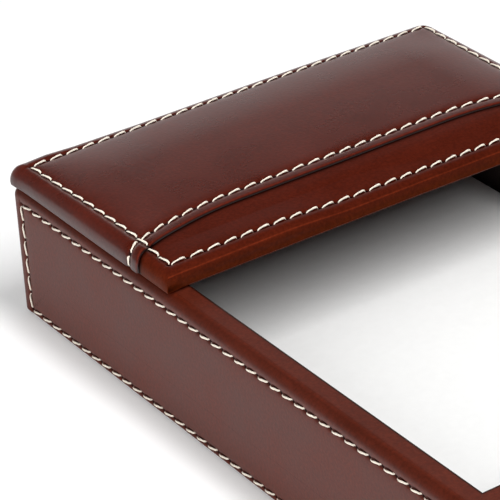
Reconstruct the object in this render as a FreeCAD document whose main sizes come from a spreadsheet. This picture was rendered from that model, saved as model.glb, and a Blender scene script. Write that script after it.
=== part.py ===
import FreeCAD, Part

import math
import os
import re

import Sketcher

# A leather covered tray for small note paper, with a padded ledge across its back end.
# The ledge lies at +Y, the tray rests on its felt at Z = 0, and X runs across it.
# Lengths are in millimetres.

doc = FreeCAD.newDocument("memo_paper_tray")

# Driving dimensions

DIMENSIONS = (
    ("paper_width", 101.6, "note sheet across, the common 4 inch size"),
    ("paper_length", 152.4, "note sheet along, the common 6 inch size"),
    ("paper_gap", 1.0, "clearance between a sheet's edge and each wall"),
    ("stack_thickness", 2.2, "the lower sheets"),
    ("packet_thickness", 1.0, "the top sheets that a hand lifts together"),
    ("board_thickness", 4.2, "wall boards"),
    ("wall_leather", 1.0, "leather on the walls"),
    ("wall_lining", 0.8, "dark lining, and the skived leather above it"),
    ("wall_height", 31.7, "leather foot to rim top"),
    ("rim_round", 2.2, "outer edge of the rim"),
    ("rim_inner_round", 0.7, "inner edge of the rim"),
    ("corner_round", 2.3, "outer upright edges"),
    ("foot_round", 0.6, "outer edge of the leather foot"),
    ("board_ease", 0.7, "eased edges of the wall boards"),
    ("rim_return", 5.0, "leather turned down inside the rim"),
    ("felt_thickness", 0.7, "felt under the tray"),
    ("felt_inset", 1.4, "felt edge inside the leather foot"),
    ("felt_corner", 2.5, "corners of the felt"),
    ("base_thickness", 2.8, "base board"),
    ("floor_lining_thickness", 0.5, "lining that the sheets lie on"),
    ("ledge_depth", 64.1, "ledge, nose to back"),
    ("ledge_rise", 4.4, "rim top to the ledge's middle layer, at its seams"),
    ("ledge_crown", 0.4, "how far the padded middle stands above the side seams"),
    ("ledge_round", 2.4, "upper edges of the ledge"),
    ("ledge_corner", 3.0, "back corners of the ledge, seen from above"),
    ("nose_corner", 2.6, "front corners of the ledge, seen from above"),
    ("ledge_foot_round", 0.6, "lower edges of the ledge cover"),
    ("ledge_leather", 1.0, "leather cover of the ledge"),
    ("ledge_turn_under", 10.0, "cover leather turned in under the ledge"),
    ("ledge_turned_leather", 0.8, "thickness of that turned leather"),
    ("ledge_board_thickness", 2.0, "stiff board inside the ledge"),
    ("overlay_leather", 0.8, "second layer over the back of the ledge"),
    ("overlay_setback", 16.3, "ledge nose to the middle of the overlay's edge"),
    ("overlay_flat", 28.0, "half of the straight middle of the overlay's edge"),
    ("overlay_sweep", 82.0, "radius of the arcs at both ends of that edge"),
    ("overlay_edge_round", 0.4, "turned edge of the overlay"),
    ("rim_seam", 3.5, "wall seam below the rim top"),
    ("foot_seam", 1.2, "wall seam above the leather foot"),
    ("side_seam", 4.0, "wall seam inside each upright edge"),
    ("ledge_side_seam", 3.6, "ledge seam inside its sides"),
    ("ledge_back_seam", 4.0, "ledge seam inside its back"),
    ("ledge_nose_seam", 3.9, "ledge seam behind its nose"),
    ("overlay_seam", 3.7, "arc seam behind the overlay's edge"),
    ("stitch_pitch", 4.16, "one stitch and one gap"),
    ("stitch_length", 3.2, "thread that shows between two holes"),
    ("stitch_width", 0.8, "thread across"),
    ("stitch_height", 0.4, "thread above the leather"),
    ("stitch_crest", 0.5, "share of the thread's width that its top keeps"),
)

sizes = doc.addObject("Spreadsheet::Sheet", "sizes")
for row, (alias, amount, note) in enumerate(DIMENSIONS, start=1):
    sizes.set("A%d" % row, alias)
    sizes.set("B%d" % row, str(amount))
    sizes.setAlias("B%d" % row, alias)
    sizes.set("C%d" % row, note)
doc.recompute()

# Sizes worked out from them, as formulas of the sheet's names

WALL = "(wall_leather + board_thickness + wall_lining)"
INNER_WIDTH = "(paper_width + 2 * paper_gap)"
INNER_LENGTH = "(paper_length + 2 * paper_gap)"
WIDTH = f"({INNER_WIDTH} + 2 * {WALL})"
LENGTH = f"({INNER_LENGTH} + 2 * {WALL})"
LINED_WIDTH = f"({INNER_WIDTH} + 2 * wall_lining)"
LINED_LENGTH = f"({INNER_LENGTH} + 2 * wall_lining)"
RIM_TOP = "(felt_thickness + wall_height)"
BASE_TOP = "(felt_thickness + base_thickness)"
FLOOR_TOP = f"({BASE_TOP} + floor_lining_thickness)"
BOARD_BOTTOM = "(felt_thickness + wall_leather)"
BOARD_HEIGHT = "(wall_height - 2 * wall_leather)"
LINING_HEIGHT = f"({RIM_TOP} - rim_return - {BASE_TOP})"
LEDGE_NOSE = f"({LENGTH} / 2 - ledge_depth)"
LEDGE_MIDDLE = f"({LENGTH} / 2 - ledge_depth / 2)"
LEDGE_CHORD = f"({WIDTH} / 2 - ledge_side_seam)"
CROWN_RADIUS = f"({LEDGE_CHORD} * {LEDGE_CHORD} / (2 * ledge_crown) + ledge_crown / 2)"
CROWN_CENTRE = f"({RIM_TOP} + ledge_rise + ledge_crown - {CROWN_RADIUS})"
LEDGE_BLANK = "(2 * (ledge_rise + ledge_crown))"
BOARD_LEVEL = f"({RIM_TOP} + ledge_turned_leather + ledge_board_thickness)"
OVERLAY_GROWTH = "(overlay_leather / 2)"
COVER_GROWTH = "(-overlay_leather / 2)"
CORE_GROWTH = "(-overlay_leather / 2 - ledge_leather)"
OVERLAY_EDGE = f"({LEDGE_NOSE} + overlay_setback)"


def number(alias):
    """A driving dimension as a plain number."""
    return float(sizes.get(alias))


def bind(thing, prop, formula):
    """Tie a property to a formula of the sheet's names."""
    thing.setExpression(prop, re.sub(r"\b([a-z]+(?:_[a-z]+)+)\b", r"sizes.\1", formula))


# Ways of making a piece

DRAWN = 18.0  # side of a square outline before its own formulas size it
TOUCH = 0.001
CENTRE = ("0", "0")
RIGHTWARDS = FreeCAD.Vector(1, 0, 0)
BACKWARDS = FreeCAD.Vector(0, 1, 0)
UPWARDS = FreeCAD.Vector(0, 0, 1)


def block(name, size, centre, bottom):
    """A PartDesign body: a rectangle centred on a point, padded upwards."""
    body = doc.addObject("PartDesign::Body", name)
    sketch = body.newObject("Sketcher::SketchObject", name + "_outline")
    plane = [item for item in body.Origin.OriginFeatures if item.Role == "XY_Plane"][0]
    sketch.AttachmentSupport = [(plane, "")]
    sketch.MapMode = "FlatFace"
    corners = [FreeCAD.Vector(x, y, 0) * DRAWN / 2 for x, y in ((-1, -1), (1, -1), (1, 1), (-1, 1))]
    for first in range(4):
        sketch.addGeometry(Part.LineSegment(corners[first], corners[(first + 1) % 4]), False)
    for first in range(4):
        sketch.addConstraint(Sketcher.Constraint("Coincident", first, 2, (first + 1) % 4, 1))
    for side, direction in ((0, "Horizontal"), (1, "Vertical"), (2, "Horizontal"), (3, "Vertical")):
        sketch.addConstraint(Sketcher.Constraint(direction, side))
    sketch.addConstraint(Sketcher.Constraint("Symmetric", 0, 1, 2, 1, -1, 1))
    spans = (("across", "DistanceX", 0, size[0]), ("along", "DistanceY", 1, size[1]))
    for prop, kind, side, formula in spans:
        spot = sketch.addConstraint(Sketcher.Constraint(kind, side, 1, side, 2, DRAWN))
        sketch.renameConstraint(spot, prop)
        bind(sketch, "Constraints." + prop, formula)
    pad = body.newObject("PartDesign::Pad", name + "_pad")
    pad.Profile = sketch
    bind(pad, "Length", size[2])
    for axis, formula in zip("xyz", (centre[0], centre[1], bottom)):
        bind(body, "Placement.Base." + axis, formula)
    doc.recompute()
    return body


def dress_edges(body, name, edges, radius):
    """Round some edges of a body's last feature."""
    base = body.Tip
    rounding = body.newObject("PartDesign::Fillet", name)
    rounding.Base = (base, edges)
    bind(rounding, "Radius", radius)
    body.Tip = rounding
    doc.recompute()


def edge_names(shape, wanted):
    """Names of a shape's edges whose box passes a test."""
    return ["Edge%d" % (spot + 1) for spot, edge in enumerate(shape.Edges) if wanted(edge.BoundBox)]


def level(box, height):
    """Whether an edge lies flat at a height."""
    return abs(box.ZMin - height) < TOUCH and abs(box.ZMax - height) < TOUCH


def upright(box):
    """Whether an edge stands straight up."""
    return box.XLength < TOUCH and box.YLength < TOUCH


def round_edges(name, base, picked):
    """Part's own fillet of picked edges, each with its radius."""
    rounding = doc.addObject("Part::Fillet", name)
    rounding.Base = base
    rounding.Edges = [(int(edge[4:]), radius, radius) for edge, radius in picked]
    doc.recompute()
    return rounding


def combine(kind, name, base, tool):
    """A Part boolean of two objects."""
    result = doc.addObject("Part::" + kind, name)
    result.Base = base
    result.Tool = tool
    doc.recompute()
    return result


def join(name, shapes):
    """One tool from several objects."""
    result = doc.addObject("Part::MultiFuse", name)
    result.Shapes = shapes
    doc.recompute()
    return result


# Underside and floor

base_felt = block("base_felt", (f"{WIDTH} - 2 * felt_inset", f"{LENGTH} - 2 * felt_inset", "felt_thickness"),
                  CENTRE, "0")
dress_edges(base_felt, "felt_corners", edge_names(base_felt.Tip.Shape, upright), "felt_corner")

base_board = block("base_board", (LINED_WIDTH, LINED_LENGTH, "base_thickness"), CENTRE, "felt_thickness")
floor_lining = block("floor_lining", (INNER_WIDTH, INNER_LENGTH, "floor_lining_thickness"), CENTRE, BASE_TOP)

# Wall boards: the long ones run past the ends of the short ones

SIDE_BOARD_AT = f"({WIDTH} / 2 - wall_leather - board_thickness / 2)"
END_BOARD_AT = f"({LENGTH} / 2 - wall_leather - board_thickness / 2)"
SIDE_BOARD = ("board_thickness", f"{LENGTH} - 2 * wall_leather", BOARD_HEIGHT)
END_BOARD = (LINED_WIDTH, "board_thickness", BOARD_HEIGHT)

wall_boards = [
    block("left_board", SIDE_BOARD, ("-" + SIDE_BOARD_AT, "0"), BOARD_BOTTOM),
    block("right_board", SIDE_BOARD, (SIDE_BOARD_AT, "0"), BOARD_BOTTOM),
    block("back_board", END_BOARD, ("0", END_BOARD_AT), BOARD_BOTTOM),
    block("front_board", END_BOARD, ("0", "-" + END_BOARD_AT), BOARD_BOTTOM),
]


def ease_board(board):
    """Round the long outer upper edge of a wall board, and the ends of a long board."""
    shape = board.Tip.Shape
    outer_x = shape.BoundBox.XMax if board.Placement.Base.x > 0 else shape.BoundBox.XMin
    outer_y = shape.BoundBox.YMax if board.Placement.Base.y > 0 else shape.BoundBox.YMin
    top = shape.BoundBox.ZMax
    long_board = shape.BoundBox.YLength > shape.BoundBox.XLength

    def outer(box):
        """Whether an edge faces out of the tray."""
        on_side = abs(box.XMin - outer_x) < TOUCH and abs(box.XMax - outer_x) < TOUCH
        on_end = abs(box.YMin - outer_y) < TOUCH and abs(box.YMax - outer_y) < TOUCH
        if long_board:
            return on_side and (level(box, top) or upright(box))
        return on_end and level(box, top)

    dress_edges(board, board.Name + "_ease", edge_names(shape, outer), "board_ease")


for wall_board in wall_boards:
    ease_board(wall_board)

# Linings stand on the base board, below the leather that is turned down inside the rim

SIDE_LINING_AT = f"({INNER_WIDTH} / 2 + wall_lining / 2)"
END_LINING_AT = f"({INNER_LENGTH} / 2 + wall_lining / 2)"
SIDE_LINING = ("wall_lining", LINED_LENGTH, LINING_HEIGHT)
END_LINING = (INNER_WIDTH, "wall_lining", LINING_HEIGHT)

linings = [
    block("left_lining", SIDE_LINING, ("-" + SIDE_LINING_AT, "0"), BASE_TOP),
    block("right_lining", SIDE_LINING, (SIDE_LINING_AT, "0"), BASE_TOP),
    block("back_lining", END_LINING, ("0", END_LINING_AT), BASE_TOP),
    block("front_lining", END_LINING, ("0", "-" + END_LINING_AT), BASE_TOP),
]

# Leather of the walls: a rounded skin round the boards, mitred into four panels at the corners

skin = block("wall_skin", (WIDTH, LENGTH, "wall_height"), CENTRE, "felt_thickness")
dress_edges(skin, "wall_corners", edge_names(skin.Tip.Shape, upright), "corner_round")
skin_box = skin.Tip.Shape.BoundBox
rim_edges = edge_names(skin.Tip.Shape, lambda box: level(box, skin_box.ZMax))
dress_edges(skin, "wall_rim", rim_edges, "rim_round")
foot_edges = edge_names(skin.Tip.Shape, lambda box: level(box, skin_box.ZMin))
dress_edges(skin, "wall_foot", foot_edges, "foot_round")

well = block("well", (INNER_WIDTH, INNER_LENGTH, "wall_height"), CENTRE, "felt_thickness")
lined_well = block("lined_well", (LINED_WIDTH, LINED_LENGTH, "wall_height - rim_return"), CENTRE,
                   "felt_thickness")
inside = join("inside", wall_boards + [well, lined_well])
wall_leather = combine("Cut", "wall_leather", skin, inside)

cavity = well.Shape.BoundBox
wall = number("wall_leather") + number("board_thickness") + number("wall_lining")
side_x, end_y = cavity.XMax + wall, cavity.YMax + wall


def wall_panel(name, span, reach, turn):
    """The part of the wall leather between the mitres of one wall, with its inner rim edge rounded."""
    mitre = doc.addObject("Part::Wedge", name + "_mitre")
    for prop, formula in (
        ("Xmin", f"-{span} / 2"), ("Xmax", f"{span} / 2"),
        ("X2min", f"-{span} / 2 + {WALL}"), ("X2max", f"{span} / 2 - {WALL}"),
        ("Ymin", f"-{reach} / 2"), ("Ymax", f"-{reach} / 2 + {WALL}"),
        ("Zmin", "0"), ("Zmax", f"2 * {RIM_TOP}"), ("Z2min", "0"), ("Z2max", f"2 * {RIM_TOP}"),
    ):
        bind(mitre, prop, formula)
    mitre.Placement.Rotation = FreeCAD.Rotation(UPWARDS, turn)
    doc.recompute()
    plain = combine("Common", name + "_plain", wall_leather, mitre)
    across = turn in (0, 180)
    wall_inside = {0: cavity.YMin, 90: cavity.XMax, 180: cavity.YMax, -90: cavity.XMin}[turn]

    def rim_edge(box):
        """Whether an edge is the panel's inner rim edge."""
        near = (box.YMin, box.YMax) if across else (box.XMin, box.XMax)
        return level(box, cavity.ZMax) and max(abs(spot - wall_inside) for spot in near) < TOUCH

    picked = [(edge, number("rim_inner_round")) for edge in edge_names(plain.Shape, rim_edge)]
    return round_edges(name, plain, picked)


wall_leathers = [
    wall_panel("left_leather", LENGTH, WIDTH, -90),
    wall_panel("right_leather", LENGTH, WIDTH, 90),
    wall_panel("back_leather", WIDTH, LENGTH, 180),
    wall_panel("front_leather", WIDTH, LENGTH, 0),
]

# Paper: a stack on the floor, and the packet that lifts off it

paper_stack = block("paper_stack", ("paper_width", "paper_length", "stack_thickness"), CENTRE, FLOOR_TOP)
top_sheets = block("top_sheets", ("paper_width", "paper_length", "packet_thickness"), CENTRE,
                   f"{FLOOR_TOP} + stack_thickness")

# Ledge: nested forms, each a crowned and rounded block grown outwards by its own amount


def ledge_form(name, growth, bottom):
    """The ledge's outer form at one layer: upright sides, a top crowned across the tray, rounded edges."""
    blank = block(name + "_blank", (f"{WIDTH} + 2 * {growth}", f"ledge_depth + 2 * {growth}", LEDGE_BLANK),
                  ("0", LEDGE_MIDDLE), bottom)
    sides = blank.Tip.Shape.BoundBox
    middle = (sides.YMin + sides.YMax) / 2
    back = edge_names(blank.Tip.Shape, lambda box: upright(box) and box.YMin > middle)
    dress_edges(blank, name + "_back_corners", back, f"ledge_corner + {growth}")
    nose = edge_names(blank.Tip.Shape, lambda box: upright(box) and box.YMin < sides.YMin + TOUCH)
    dress_edges(blank, name + "_nose_corners", nose, f"nose_corner + {growth}")
    crown = doc.addObject("Part::Cylinder", name + "_crown")
    bind(crown, "Radius", f"{CROWN_RADIUS} + {growth}")
    bind(crown, "Height", LENGTH)
    bind(crown, "Placement.Base.y", LENGTH)
    bind(crown, "Placement.Base.z", CROWN_CENTRE)
    crown.Placement.Rotation = FreeCAD.Rotation(RIGHTWARDS, 90)
    doc.recompute()
    crowned = combine("Common", name + "_crowned", blank, crown)
    floor = crowned.Shape.BoundBox.ZMin
    radius = number("ledge_round") + sides.XMax - side_x
    top = edge_names(crowned.Shape, lambda box: box.ZMin > floor + TOUCH)
    return round_edges(name, crowned, [(edge, radius) for edge in top])


overlay_form = ledge_form("overlay_form", OVERLAY_GROWTH, RIM_TOP)
cover_form = ledge_form("cover_form", COVER_GROWTH, RIM_TOP)
core_form = ledge_form("core_form", CORE_GROWTH, f"{RIM_TOP} + ledge_turned_leather")

# Ledge core: a board, and the padding between it and the leather

board_zone = block("board_zone", (WIDTH, "ledge_depth", f"{BOARD_LEVEL} - {RIM_TOP}"),
                   ("0", LEDGE_MIDDLE), RIM_TOP)
ledge_board = combine("Common", "ledge_board", core_form, board_zone)
padding_zone = block("padding_zone", (WIDTH, "ledge_depth", LEDGE_BLANK),
                     ("0", LEDGE_MIDDLE), BOARD_LEVEL)
ledge_padding = combine("Common", "ledge_padding", core_form, padding_zone)

# Ledge cover: one leather, turned in under the ledge round a lining

UNDER_WIDTH, UNDER_DEPTH = f"{WIDTH} - 2 * ledge_turn_under", "ledge_depth - 2 * ledge_turn_under"
ledge_lining = block("ledge_lining", (UNDER_WIDTH, UNDER_DEPTH, "ledge_turned_leather"),
                     ("0", LEDGE_MIDDLE), RIM_TOP)

cover_bottom = cover_form.Shape.BoundBox.ZMin
cover_foot = edge_names(cover_form.Shape, lambda box: level(box, cover_bottom))
cover_picked = [(edge, number("ledge_foot_round")) for edge in cover_foot]
cover_outer = round_edges("cover_outer", cover_form, cover_picked)
ledge_inside = join("ledge_inside", [core_form, ledge_lining])
ledge_cover_leather = combine("Cut", "ledge_cover_leather", cover_outer, ledge_inside)


# Overlay: the second layer, behind a front edge that is straight in the middle and falls away in two arcs

nose_y = end_y - number("ledge_depth")
overlay_y = nose_y + number("overlay_setback")
crown_chord = side_x - number("ledge_side_seam")
crown_radius = crown_chord ** 2 / (2 * number("ledge_crown")) + number("ledge_crown") / 2
crown_axis = cavity.ZMax + number("ledge_rise") + number("ledge_crown") - crown_radius


def layer_height(across, growth):
    """Height of one of the ledge's crowned layers, at a place across it."""
    return crown_axis + math.sqrt((crown_radius + growth) ** 2 - across ** 2)


def overlay_edge_at(across):
    """Where the overlay's front edge lies, at a place across the ledge."""
    beyond = max(0.0, abs(across) - number("overlay_flat"))
    return overlay_y - number("overlay_sweep") + math.sqrt(number("overlay_sweep") ** 2 - beyond ** 2)


def overlay_outline():
    """A sketch of the overlay's region: its front edge, and straight lines round the back."""
    sketch = doc.addObject("Sketcher::SketchObject", "overlay_outline")
    flat, sweep, margin = number("overlay_flat"), number("overlay_sweep"), number("ledge_corner")
    side, back = side_x + margin, end_y + margin
    fall = sweep - math.sqrt(sweep ** 2 - (side - flat) ** 2)
    corners = [FreeCAD.Vector(x, y, 0) for x, y in (
        (-flat, overlay_y), (flat, overlay_y), (side, overlay_y - fall), (side, back), (-side, back),
        (-side, overlay_y - fall))]
    reach = math.asin((side - flat) / sweep)
    quarter = math.pi / 2
    right_circle = Part.Circle(FreeCAD.Vector(flat, overlay_y - sweep, 0), UPWARDS, sweep)
    left_circle = Part.Circle(FreeCAD.Vector(-flat, overlay_y - sweep, 0), UPWARDS, sweep)
    for piece in (
        Part.LineSegment(corners[0], corners[1]),
        Part.ArcOfCircle(right_circle, quarter - reach, quarter),
        Part.LineSegment(corners[2], corners[3]),
        Part.LineSegment(corners[3], corners[4]),
        Part.LineSegment(corners[4], corners[5]),
        Part.ArcOfCircle(left_circle, quarter, quarter + reach),
    ):
        sketch.addGeometry(piece, False)
    for constraint in (
        ("Tangent", 0, 2, 1, 2), ("Coincident", 1, 1, 2, 1), ("Coincident", 2, 2, 3, 1),
        ("Coincident", 3, 2, 4, 1), ("Coincident", 4, 2, 5, 2), ("Tangent", 5, 1, 0, 1),
        ("Vertical", 2), ("Vertical", 4), ("Equal", 1, 5),
        ("Symmetric", 0, 1, 0, 2, -2), ("Symmetric", 3, 1, 3, 2, -2),
    ):
        sketch.addConstraint(Sketcher.Constraint(*constraint))
    for prop, constraint, formula in (
        ("edge", ("DistanceY", -1, 1, 0, 1, overlay_y), OVERLAY_EDGE),
        ("flat", ("DistanceX", 0, 1, 0, 2, 2 * flat), "2 * overlay_flat"),
        ("sweep", ("Radius", 1, sweep), "overlay_sweep"),
        ("side", ("DistanceX", -1, 1, 2, 1, side), f"{WIDTH} / 2 + ledge_corner"),
        ("back", ("DistanceY", -1, 1, 3, 1, back), f"{LENGTH} / 2 + ledge_corner"),
    ):
        spot = sketch.addConstraint(Sketcher.Constraint(*constraint))
        sketch.renameConstraint(spot, prop)
        bind(sketch, "Constraints." + prop, formula)
    doc.recompute()
    return sketch


overlay_zone = doc.addObject("Part::Extrusion", "overlay_zone")
overlay_zone.Base = overlay_outline()
overlay_zone.DirMode = "Custom"
overlay_zone.Dir = UPWARDS
overlay_zone.Solid = True
bind(overlay_zone, "LengthFwd", f"{RIM_TOP} + {LEDGE_BLANK}")
doc.recompute()

overlay_solid = combine("Common", "overlay_solid", overlay_form, overlay_zone)
overlay_plain = combine("Cut", "overlay_plain", overlay_solid, cover_form)


def turned_edge(shape):
    """Names of the upper outer edges along the overlay's front."""
    half_layer = number("overlay_leather") / 2
    picked = []
    for spot, edge in enumerate(shape.Edges):
        at = edge.valueAt((edge.FirstParameter + edge.LastParameter) / 2)
        on_edge = abs(at.y - overlay_edge_at(at.x)) < TOUCH
        proud = layer_height(at.x, half_layer) - at.z < half_layer
        if on_edge and proud and not upright(edge.BoundBox):
            picked.append("Edge%d" % (spot + 1))
    return picked


overlay_picked = [(edge, number("overlay_edge_round")) for edge in turned_edge(overlay_plain.Shape)]
ledge_overlay_leather = round_edges("ledge_overlay_leather", overlay_plain, overlay_picked)

# Stitching: rows of short bars of thread that lie on the leather, with a gap at each needle hole


def stitch(middle, along, outward):
    """One stitch, lying on the leather."""
    half, across = number("stitch_length") / 2, number("stitch_width") / 2
    crest = across * number("stitch_crest")
    height = number("stitch_height")
    taper = across - crest
    bar = Part.makeWedge(-half, 0, -across, -crest, taper - half, half, height, across, crest, half - taper)
    bar.Placement = FreeCAD.Placement(middle, FreeCAD.Rotation(along, outward, along.cross(outward), "YXZ"))
    return bar


def spread(length):
    """Even places for the middles of the stitches in a row, from its start."""
    count = max(1, round(length / number("stitch_pitch")))
    return [(spot + 0.5) * length / count for spot in range(count)]


def wall_border(corner, across, outward):
    """The stitched border of one wall: its two long rows, then its two upright rows."""
    rise = number("wall_height") - number("rim_seam") - number("foot_seam")
    width = -2 * corner.dot(across)
    rows = ((corner, across, width), (corner + UPWARDS * rise, across, width),
            (corner, UPWARDS, rise), (corner + across * width, UPWARDS, rise))
    threads = []
    for start, way, length in rows:
        threads += [stitch(start + way * place, way, outward) for place in spread(length)]
    return threads


def ledge_stitch(across, along, way):
    """One stitch on the ledge: on the overlay wherever it reaches, and on the cover in front of it."""
    reach = way * (number("stitch_length") / 2)
    ends = ((across + side * reach.x, along + side * reach.y) for side in (-1, 1))
    on_overlay = any(end_y > overlay_edge_at(end_x) for end_x, end_y in ends)
    layer = number("overlay_leather") / 2 * (1 if on_overlay else -1)
    middle = FreeCAD.Vector(across, along, layer_height(across, layer))
    outward = FreeCAD.Vector(across, 0, middle.z - crown_axis).normalize()
    return stitch(middle, (way - outward * way.dot(outward)).normalize(), outward)


def ledge_border():
    """The border round the top of the ledge."""
    side, back = side_x - number("ledge_side_seam"), end_y - number("ledge_back_seam")
    nose = nose_y + number("ledge_nose_seam")
    corners = [FreeCAD.Vector(x, y, 0) for x, y in ((-side, nose), (side, nose), (side, back), (-side, back))]
    threads = []
    for start, end in zip(corners, corners[1:] + corners[:1]):
        way = (end - start).normalize()
        places = [start + way * place for place in spread((end - start).Length)]
        threads += [ledge_stitch(place.x, place.y, way) for place in places]
    return threads


def overlay_row():
    """The row that follows the overlay's edge, between the ledge's side rows."""
    flat, seam = number("overlay_flat"), number("overlay_seam")
    sweep = number("overlay_sweep") + seam
    side = side_x - number("ledge_side_seam") - number("stitch_pitch") / 2
    half = flat + sweep * math.asin((side - flat) / sweep)
    middle = overlay_edge_at(0) + seam
    threads = []
    for place in spread(2 * half):
        run = place - half
        turn = math.copysign(max(0.0, abs(run) - flat) / sweep, run)
        across = min(flat, max(-flat, run)) + sweep * math.sin(turn)
        along = middle - sweep * (1 - math.cos(turn))
        threads.append(ledge_stitch(across, along, FreeCAD.Vector(math.cos(turn), -math.sin(turn), 0)))
    return threads


def stitching(name, threads):
    """A node that holds a group of separate stitches."""
    group = doc.addObject("Part::Feature", name)
    group.Shape = Part.makeCompound(threads)
    return group


seam_level = cavity.ZMin + number("foot_seam")
seam_x, seam_y = side_x - number("side_seam"), end_y - number("side_seam")

left_corner = FreeCAD.Vector(-side_x, seam_y, seam_level)
right_corner = FreeCAD.Vector(side_x, -seam_y, seam_level)
back_corner = FreeCAD.Vector(seam_x, end_y, seam_level)
front_corner = FreeCAD.Vector(-seam_x, -end_y, seam_level)

stitchings = [
    stitching("left_stitching", wall_border(left_corner, -BACKWARDS, -RIGHTWARDS)),
    stitching("right_stitching", wall_border(right_corner, BACKWARDS, RIGHTWARDS)),
    stitching("back_stitching", wall_border(back_corner, -RIGHTWARDS, BACKWARDS)),
    stitching("front_stitching", wall_border(front_corner, RIGHTWARDS, -BACKWARDS)),
    stitching("ledge_border_stitching", ledge_border()),
    stitching("ledge_arc_stitching", overlay_row()),
]

# One file for each piece

NODES = (
    [base_felt, base_board, floor_lining] + wall_boards + linings + wall_leathers
    + [ledge_board, ledge_padding, ledge_lining, ledge_cover_leather, ledge_overlay_leather]
    + stitchings + [paper_stack, top_sheets]
)

doc.recompute()
for item in doc.Objects:
    if "Invalid" in item.State or "Error" in item.State:
        raise RuntimeError(f"{item.Name} did not build")
for node in NODES:
    if node.Shape.isNull() or not node.Shape.isValid() or not node.Shape.Solids:
        raise RuntimeError(f"{node.Label} has no valid solid")

os.makedirs("parts", exist_ok=True)
for node in NODES:
    node.Shape.exportStep(f"parts/{node.Label}.step")
    print(f"{node.Label}: {len(node.Shape.Solids)} solids, {node.Shape.Volume:.1f} mm3")
print(f"{len(NODES)} nodes")
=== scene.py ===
# %% [markdown]
# # A leather memo paper tray
#
# A desk tray for small note paper: four walls covered in one smooth red-brown leather, a padded
# ledge across the back end, two leathers thick, and cream saddle stitching along every edge.
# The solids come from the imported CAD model. This lesson dresses them: the leathers and threads are
# built again with their grooves, rolls and needle holes, and every surface gets its finish.
# Lengths on the tray are written in millimetres, as a leather worker would, and `solid_piece` turns
# them to metres. The studio round the tray is written in metres.

import math

import bmesh
import bpy
import numpy as np
from mathutils import Matrix, Vector


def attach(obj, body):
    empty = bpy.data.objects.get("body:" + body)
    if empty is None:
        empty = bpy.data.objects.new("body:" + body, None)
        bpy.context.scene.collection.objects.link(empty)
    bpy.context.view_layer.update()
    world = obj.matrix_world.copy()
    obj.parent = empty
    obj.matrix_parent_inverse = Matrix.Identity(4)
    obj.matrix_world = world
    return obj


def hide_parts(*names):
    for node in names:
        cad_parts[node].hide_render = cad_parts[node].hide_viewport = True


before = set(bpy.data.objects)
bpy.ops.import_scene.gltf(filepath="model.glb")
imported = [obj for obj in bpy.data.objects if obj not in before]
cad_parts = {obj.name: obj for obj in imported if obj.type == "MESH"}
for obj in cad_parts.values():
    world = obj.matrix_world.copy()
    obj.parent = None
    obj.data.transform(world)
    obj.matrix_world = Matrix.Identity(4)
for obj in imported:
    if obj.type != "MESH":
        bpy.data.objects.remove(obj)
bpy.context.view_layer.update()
MM = 0.001


# %% [markdown]
# ## Camera
#
# A close-up taken with a long lens from the front left, looking down by about thirty degrees, with
# the camera leaning nearly four degrees to one side. A camera can be placed by eye, but here its
# place was worked out from the stitch rows, whose real lengths are known. The matrix holds the
# camera's right, up and backward directions as columns.

# %% Camera
AZIMUTH, ELEVATION, LEAN = math.radians(32.604), math.radians(29.568), math.radians(3.682)
CAMERA_PLACE = (-0.32315, -0.42833, 0.33729)
forward = Vector(
    (
        math.sin(AZIMUTH) * math.cos(ELEVATION),
        math.cos(AZIMUTH) * math.cos(ELEVATION),
        -math.sin(ELEVATION),
    )
)
level_right = Vector((math.cos(AZIMUTH), -math.sin(AZIMUTH), 0))
level_up = level_right.cross(forward)
right = level_right * math.cos(LEAN) - level_up * math.sin(LEAN)
up = right.cross(forward)

camera = bpy.data.objects.new("camera", bpy.data.cameras.new("camera"))
bpy.context.collection.objects.link(camera)
camera.data.sensor_width = 36
camera.data.lens = 211.25
camera.data.clip_start = 0.01
camera.matrix_world = Matrix.Translation(CAMERA_PLACE) @ Matrix(
    (
        (right.x, up.x, -forward.x, 0),
        (right.y, up.y, -forward.y, 0),
        (right.z, up.z, -forward.z, 0),
        (0, 0, 0, 1),
    )
)
bpy.context.scene.camera = camera
print("camera:", [round(c, 4) for c in camera.location])


# %% [markdown]
# ## One way to add a node
#
# Every material below is a small tree of nodes. `put` adds one node: its plain settings are given by
# name, and each of its sockets gets either a number or another node's output. Four kinds of node come
# again and again, so each of them gets a short name too. Colours are written in sRGB, as on a
# screen, and Blender works in linear light, so `linear` turns one into the other.

# %% Adding a node, and colours
def put(tree, kind, sockets=None, **settings):
    node = tree.nodes.new(kind)
    for name, value in settings.items():
        setattr(node, name, value)
    for socket, value in (sockets or {}).items():
        if isinstance(value, bpy.types.NodeSocket):
            tree.links.new(value, node.inputs[socket])
        else:
            node.inputs[socket].default_value = value
    return node


def maths(tree, operation, *values, **settings):
    return put(tree, "ShaderNodeMath", dict(enumerate(values)), operation=operation, **settings).outputs[0]


def ramp(tree, value, low, high, start, end, kind="LINEAR"):
    """Start where the value is low, end where it is high, and in between a line or a smooth step."""
    sockets = {"Value": value, "From Min": low, "From Max": high, "To Min": start, "To Max": end}
    return put(tree, "ShaderNodeMapRange", sockets, interpolation_type=kind).outputs["Result"]


def mix(tree, factor, first, second, kind="RGBA"):
    sockets = {"Factor": factor, "A": first, "B": second}
    return put(tree, "ShaderNodeMix", sockets, data_type=kind).outputs["Result"]


def noise(tree, scale, detail, roughness=0.5):
    """A cloudy pattern; scale is how many patches go into a metre."""
    place = put(tree, "ShaderNodeTexCoord").outputs["Object"]
    sockets = {"Vector": place, "Scale": scale, "Detail": detail, "Roughness": roughness}
    return put(tree, "ShaderNodeTexNoise", sockets).outputs["Fac"]


def linear(code):
    shades = [int(code[i : i + 2], 16) / 255 for i in (1, 3, 5)]
    return [s / 12.92 if s <= 0.04045 else ((s + 0.055) / 1.055) ** 2.4 for s in shades] + [1]


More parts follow.
